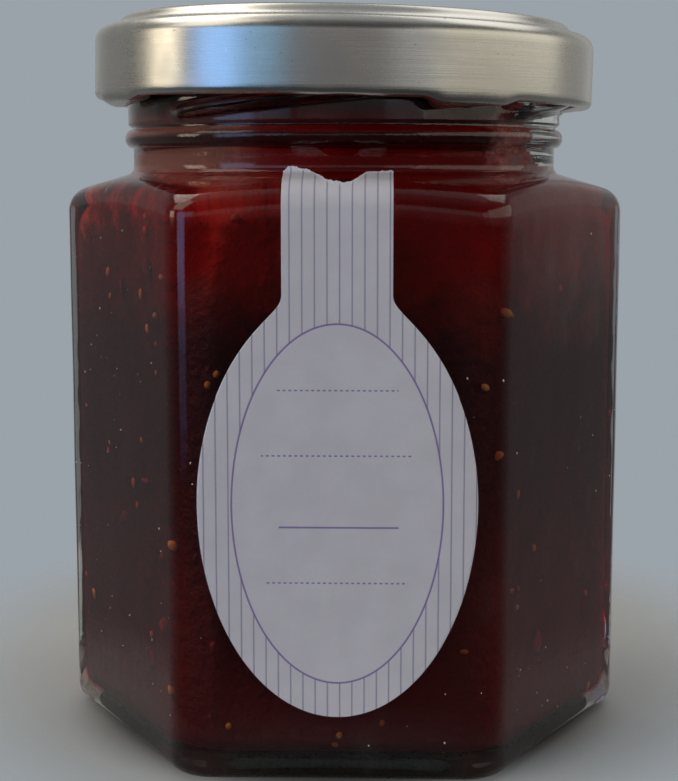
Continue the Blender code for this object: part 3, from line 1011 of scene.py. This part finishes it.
stripe_pitch, stripe_half, stripe_shift = 1.355, 0.075, 0.27
frame_half_width = 11.57
frame_half_height = 19.98
frame_middle = 31.85
frame_half_line = 0.09
rule_height, rule_half, rule_half_line = 29.44, 6.5, 0.09
writing_heights = (44.6, 37.4, 23.2)
writing_half, writing_half_line, dot_pitch = 8.6, 0.075, 0.62


def printed_paper():
    """White label paper with its print: stripes outside the frame, and lines inside it."""
    look = Finish("printed paper", Roughness=0.55, IOR=1.45, Sheen_Weight=0.1)
    sheet = look.node("ShaderNodeUVMap", {"uv_map": "sheet"}, {})
    across, up = look.along(sheet, "X"), look.along(sheet, "Y")
    place = look.place()

    def line(off, half):
        return 1.0 - look.step(off.math("ABSOLUTE"), half * 0.6, half * 1.6)

    wide = across / frame_half_width
    tall = (up - frame_middle) / frame_half_height
    oval = wide * wide + tall * tall
    steep = (wide / frame_half_width) ** 2.0 + (tall / frame_half_height) ** 2.0
    off_frame = (oval - 1.0) / (steep.math("SQRT") * 2.0 + 0.001)
    outside = look.step(off_frame, 0.0, 0.05)
    beside = (across - stripe_shift) / stripe_pitch
    to_stripe = (beside - beside.math("ROUND")) * stripe_pitch
    stripes = line(to_stripe, stripe_half) * outside
    ruled = 1.0 - look.step((across - 0.15).math("ABSOLUTE"), rule_half, rule_half + 0.1)
    lines = line(up - rule_height, rule_half_line) * ruled
    dots = look.step((across / dot_pitch).math("FRACT"), 0.42, 0.55)
    for height in writing_heights:
        reach = writing_half * math.sqrt(1 - ((height - frame_middle) / frame_half_height) ** 2)
        ends = 1.0 - look.step(across.math("ABSOLUTE"), reach, reach + 0.05)
        lines = lines + line(up - height, writing_half_line) * ends * dots
    lines = (line(off_frame, frame_half_line) + lines).math("MINIMUM", 1.0)
    fibre = look.grain(place, 0.12 * mm, 3.0, 0.7)
    cloud = look.grain(place, 4 * mm, 3.0)
    edge = look.attribute("torn")
    paper = look.mixed(look.step(cloud, 0.3, 0.7), (0.85, 0.81, 0.84), (0.90, 0.86, 0.89))
    paper = look.mixed(stripes * 0.72, paper, (0.33, 0.30, 0.42))
    paper = look.mixed(lines * 0.85, paper, (0.27, 0.14, 0.45))
    look.set(
        Base_Color=look.mixed(edge * (0.6 + fibre * 0.5), paper, (0.93, 0.92, 0.92)),
        Roughness=0.5 + fibre * 0.15 + edge * 0.2,
        Normal=look.relief(fibre, 0.025 * mm, look.relief(cloud, 0.12 * mm)),
    )
    return look.material


label.data.materials.append(printed_paper())
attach(label, "jar")
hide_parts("label")


# The lid is drawn from one disc of tinplate: a sunk top panel with a safety button, a raised bead over
# the rim, and a skirt whose edge is curled in. The curl is crimped flat in four places to make the lugs
# that hook under the threads. It sits a little askew.

lid_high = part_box("lid_shell")[1]
lid_radius = lid_high[0]
plate = 0.35 * mm
panel_height = 85.1 * mm
button_radius = 8.5 * mm
button_rise = 0.45 * mm
rib_middle = 26.4 * mm
rib_half = 1.3 * mm
skirt_top = 83.1 * mm
skirt_round = 1.8 * mm
curl_radius = 0.8 * mm
curl_height = 77.0 * mm
curl_wave = 0.06 * mm
lug_first = math.radians(300)
lug_half = math.radians(7)
lug_soft = math.radians(5)
lid_lean = math.radians(1.2)
lean_height = 80 * mm
lid_steps, button_steps, skirt_steps, curl_steps = 360, 8, 14, 14


def arc(middle, radius, first, last, steps):
    """Points on an arc in the profile's plane, by angle from +X in degrees."""
    found = []
    for step in range(steps + 1):
        turn = math.radians(blend(first, last, step / steps))
        found.append((middle[0] + radius * math.cos(turn), middle[1] + radius * math.sin(turn)))
    return found


def lid_face(drop):
    """The lid's profile from the middle of the panel to the foot of the skirt, drawn in by drop."""
    button = []
    for step in range(button_steps + 1):
        reach = step / button_steps
        rise = button_rise * (1 - ease(reach))
        button.append((0.3 * mm + reach * button_radius, panel_height + rise - drop))
    panel = [(x * mm, panel_height - drop) for x in (11, 14, 17, 20, 22.5)]
    channel = [
        (23.6 * mm, panel_height - drop - 0.05 * mm),
        (24.2 * mm, panel_height - drop - 0.12 * mm),
        (24.8 * mm, panel_height - drop),
    ]
    bead = arc((rib_middle, lid_high[2] - rib_half), rib_half - drop, 155, 25, 12)
    valley = [(28.1 * mm - drop * 0.3, skirt_top + skirt_round - drop + 0.02 * mm)]
    rounded = arc((lid_radius - skirt_round, skirt_top), skirt_round - drop, 72, 0, 9)
    skirt = []
    for step in range(1, skirt_steps + 1):
        height = blend(skirt_top, curl_height + 0.4 * mm, step / skirt_steps)
        skirt.append((lid_radius - drop, height))
    return button + panel + channel + bead + valley + rounded + skirt


curl = arc((lid_radius - curl_radius, curl_height), curl_radius, 0, -210, curl_steps)
lug_outline = [
    *((30.50, 77.00), (30.49, 76.66), (30.46, 76.34), (30.40, 76.04), (30.22, 75.78)),
    *((29.90, 75.60), (29.45, 75.50), (28.90, 75.46), (28.30, 75.45), (27.70, 75.50)),
    *((27.30, 75.75), (27.30, 76.10), (27.55, 76.38), (28.30, 76.60), (29.10, 77.00)),
]


def edge_points(angle):
    """The curled edge at an angle, flattened inwards and sloped like the thread where a lug is."""
    off = (angle - lug_first + thread_pitch_angle / 2) % thread_pitch_angle - thread_pitch_angle / 2
    crimped = ease((lug_half + lug_soft - abs(off)) / lug_soft)
    wave = curl_wave * noise.noise(Vector((math.cos(angle) * 9, math.sin(angle) * 9, 2.0)))
    points = []
    for (r0, z0), (r1, z1) in zip(curl, lug_outline):
        dip = z1 * mm + thread_rise * off * ease((30.3 * mm - r1 * mm) / (1.5 * mm))
        points.append((blend(r0, r1 * mm, crimped), blend(z0, dip, crimped) + wave))
    return points


lid_outer, lid_inner = lid_face(0.0), lid_face(plate)
lid_rows = [[] for _ in range(len(lid_outer) + len(curl) + len(lid_inner))]
for step in range(lid_steps):
    angle = 2 * math.pi * step / lid_steps
    for row, (radius, height) in enumerate(lid_outer + edge_points(angle) + lid_inner[::-1]):
        lid_rows[row].append((radius * math.cos(angle), radius * math.sin(angle), height))
lid = skin("steel_lid", lid_rows[::-1])
askew = Matrix.Translation((0, 0, lean_height)) @ Matrix.Rotation(lid_lean, 4, "Y")
lid.data.transform(askew @ Matrix.Translation((0, 0, -lean_height)))


def brushed_steel():
    """Satin tinplate: turned brush lines, specks, a few scratches and a dull film from handling."""
    look = Finish("satin tinplate", Metallic=1.0)
    place = look.place()
    x, y, z = (look.along(place, axis) for axis in "XYZ")
    along = z + (x * x + y * y).math("SQRT")

    def turned(round_scale, across_scale, detail):
        """Noise drawn out round the lid's axis."""
        lined = {0: x * round_scale, 1: y * round_scale, 2: along * across_scale}
        vector = look.node("ShaderNodeCombineXYZ", {}, lined)
        return look.grain(vector, 1.0, detail)

    brush = turned(60.0, 9000.0, 3.0)
    broad = turned(90.0, 1600.0, 2.0)
    scratch = look.band(turned(500.0, 260.0, 1.0), 0.498, 0.502, 0.002)
    cloud = look.grain(place, 7 * mm, 4.0, 0.6)
    speck = look.step(look.grain(place, 0.45 * mm, 1.0), 0.74, 0.8)
    base = look.mixed(brush * 0.6 + cloud * 0.4, (0.56, 0.545, 0.50), (0.70, 0.685, 0.64))
    base = look.mixed(speck * 0.6, base, (0.25, 0.22, 0.18))
    look.set(
        Base_Color=look.mixed(scratch * 0.35, base, (0.82, 0.81, 0.78)),
        Roughness=0.23 + brush * 0.08 + look.step(cloud, 0.45, 0.8) * 0.08 + speck * 0.2,
        Normal=look.relief(brush, 0.004 * mm, look.relief(broad, 0.005 * mm)),
    )
    return look.material


lid.data.materials.append(brushed_steel())
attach(lid, "lid")
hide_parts("lid_shell")


# The gasket is a ring of pale plastisol, flowed into the lid's channel and cured there. The rim of the
# glass beds into it.

ring_top_steps, ring_foot_steps, gasket_steps = 12, 10, 180
gasket_profile = [(25.12, 84.32), (25.10, 84.37)]
for step in range(ring_top_steps):
    gasket_profile.append((25.2 + 0.2 * step, 84.42 + 0.55 * math.sin(math.pi * step / ring_top_steps)))
gasket_profile += [(27.52, 84.37), (27.5, 84.32)]
for step in range(ring_foot_steps + 1):
    gasket_profile.append((27.3 - 0.2 * step, 84.28 + 0.05 * math.sin(math.pi * step / ring_foot_steps)))
gasket_points, gasket_faces = [], []
count = len(gasket_profile)
for step in range(gasket_steps):
    angle = 2 * math.pi * step / gasket_steps
    here, beside = step * count, (step + 1) % gasket_steps * count
    for point, (radius, height) in enumerate(gasket_profile):
        reach = radius * mm
        gasket_points.append((reach * math.cos(angle), reach * math.sin(angle), height * mm))
        after = (point + 1) % count
        gasket_faces.append((here + point, here + after, beside + after, beside + point))
gasket = surface("sealing_ring", gasket_points, gasket_faces)
gasket_look = Finish("cured plastisol", Roughness=0.5, IOR=1.5)
gasket_cloud = gasket_look.grain(gasket_look.place(), 2 * mm, 3.0)
gasket_look.set(
    Base_Color=gasket_look.mixed(gasket_cloud, (0.74, 0.72, 0.66), (0.82, 0.80, 0.75)),
    Normal=gasket_look.relief(gasket_cloud, 0.03 * mm),
)
gasket.data.materials.append(gasket_look.material)
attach(gasket, "lid_seal")
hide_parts("lid_gasket")


# The studio: a pale table that fades into a pale background, soft lamps that no camera sees, and the
# camera where the photograph was taken, a little above the middle of the jar.

table_radius, table_drop, table_steps = 900 * mm, -0.1 * mm, 96
table_edge = []
for step in range(table_steps):
    turn = 2 * math.pi * step / table_steps
    table_edge.append((table_radius * math.cos(turn), table_radius * math.sin(turn), table_drop))
table = surface("table", table_edge, [tuple(range(table_steps))])
table_look = Finish("pale table", Roughness=0.6)
table_place = table_look.place()
table_cloud = table_look.grain(table_place, 40 * mm, 4.0)


def table_reach(vector):
    """A vector's length."""
    return table_look.node("ShaderNodeVectorMath", {"operation": "LENGTH"}, {0: vector}, "Value")


# Painted shadow: the table is dark under and round the jar's foot, out to 37 mm from its axis, standing in
# for the jar's contact shadow.
outside_painted_shadow = table_look.step(table_reach(table_place), 25 * mm, 37 * mm)
table_tone = table_look.mixed(table_cloud, (0.46, 0.465, 0.47), (0.50, 0.505, 0.505))
table_look.set(Base_Color=table_look.mixed(outside_painted_shadow, (0.04, 0.032, 0.032), table_tone))
oval = {0: table_place, 1: (1.25, 1.0, 1.0), 2: (0.0, -25 * mm, 0.0)}
oval_place = table_look.node("ShaderNodeVectorMath", {"operation": "MULTIPLY_ADD"}, oval)
fade = table_look.step(table_reach(oval_place), 50 * mm, 86 * mm)
table_look.overlay(fade, table_look.node("ShaderNodeBsdfTransparent", {}, {}))
table.data.materials.append(table_look.material)

world = bpy.data.worlds.new("room")
bpy.context.scene.world = world
world.use_nodes = True
room = Nodes(world.node_tree)
direction = room.node("ShaderNodeTexCoord", {}, {}, "Generated")
glow = 0.045
for axis, low, high, strength in (("Z", 0.45, 0.95, 0.10), ("Y", -0.5, 0.4, 0.105), ("Y", 0.7, 0.95, 0.18)):
    glow = room.step(room.along(direction, axis), low, high) * strength + glow
mood_colour = room.mixed(glow, (0.0, 0.0, 0.0), (0.95, 0.98, 1.0))
mood = room.node("ShaderNodeBackground", {}, {"Color": mood_colour})
backdrop = room.node("ShaderNodeBackground", {}, {"Color": (0.325, 0.365, 0.40)})
camera_ray = room.node("ShaderNodeLightPath", {}, {}, "Is Camera Ray")
room.feed(room.tree.nodes["World Output"].inputs["Surface"], room.either(camera_ray, mood, backdrop))

# Each lamp: name, azimuth, height, width and height in degrees seen from the jar, colour, brightness.
lamp_distance = 0.9
lamp_aim = 45 * mm
lamp_edge = math.radians(5)
lamps = [
    ("warm window", -84, 10.5, 14, 16, (1.0, 0.87, 0.65), 2.5),
    ("cream sky", -71, 42, 28, 34, (1.0, 0.93, 0.80), 1.2),
    ("blue window", -56, 8, 21, 23, (0.27, 0.52, 1.0), 1.52),
    ("blue sill", -56, -6, 21, 6, (0.28, 0.5, 1.0), 0.4),
    ("cool curtain", -35, 11, 20, 16, (0.36, 0.67, 1.0), 0.75),
    ("dim room", 0, 10, 46, 14, (1.0, 0.93, 0.94), 0.225),
    ("cool fill", 33, 11, 20, 16, (0.92, 0.95, 1.0), 0.47),
    ("room wall", 77, 17, 70, 28, (1.0, 0.94, 0.79), 0.68),
    ("room end", 136, 16, 40, 30, (1.0, 0.98, 0.92), 0.14),
    ("room side", -136, 19, 50, 32, (1.0, 0.98, 0.95), 0.08),
    ("high window", -122, 56, 40, 26, (1.0, 0.94, 0.82), 1.8),
    ("high wall", 130, 54, 44, 28, (1.0, 0.97, 0.92), 0.85),
    ("ceiling", 180, 84, 60, 60, (0.92, 0.95, 1.0), 0.12),
    ("soft front", 8, 12, 60, 40, (1.0, 0.96, 0.99), 0.48),
]
for name, azimuth, height, wide, tall, colour, brightness in lamps:
    lamp = bpy.data.lights.new(name, "AREA")
    lamp.shape = "RECTANGLE"
    lamp.size = 2 * lamp_distance * math.tan((math.radians(wide) + lamp_edge) / 2)
    lamp.size_y = 2 * lamp_distance * math.tan((math.radians(tall) + lamp_edge) / 2)
    lamp.color = colour
    lamp.energy = brightness * 4 * lamp.size * lamp.size_y
    lamp.use_nodes = True
    panel = Nodes(lamp.node_tree)
    position = panel.node("ShaderNodeNewGeometry", {}, {}, "Parametric")
    soft = 1.0
    for axis, spread in (("X", math.radians(wide)), ("Y", math.radians(tall))):
        bright_half = 0.5 - min(0.5, lamp_edge / (spread + lamp_edge))
        off = (panel.along(position, axis) - 0.5).math("ABSOLUTE")
        soft = (1.0 - panel.step(off, bright_half, 0.5)) * soft
    panel.feed(panel.tree.nodes["Emission"].inputs["Color"], soft)
    holder = placed(name, lamp)
    side, rise = math.radians(azimuth), math.radians(height)
    away = Vector((math.sin(side) * math.cos(rise), -math.cos(side) * math.cos(rise), math.sin(rise)))
    holder.location = away * lamp_distance + Vector((0, 0, lamp_aim))
    holder.rotation_mode = "QUATERNION"
    holder.rotation_quaternion = away.to_track_quat("Z", "Y")
    holder.visible_camera = False
    holder.visible_glossy = name != "soft front"
    holder.visible_transmission = name != "soft front"

lens = bpy.data.cameras.new("camera")
lens.sensor_width = 36.0
lens.lens = 76.47
lens.clip_start = 0.01
lens.clip_end = 10.0
camera = placed("camera", lens)
camera.location = (4.837 * mm, -208.957 * mm, 68.466 * mm)
camera.rotation_euler = (math.pi / 2 - 0.133, 0.0, 0.026)
scene = bpy.context.scene
scene.camera = camera
scene.view_settings.view_transform = "Standard"
scene.cycles.use_denoising = True
scene.cycles.caustics_reflective = False
scene.cycles.caustics_refractive = False
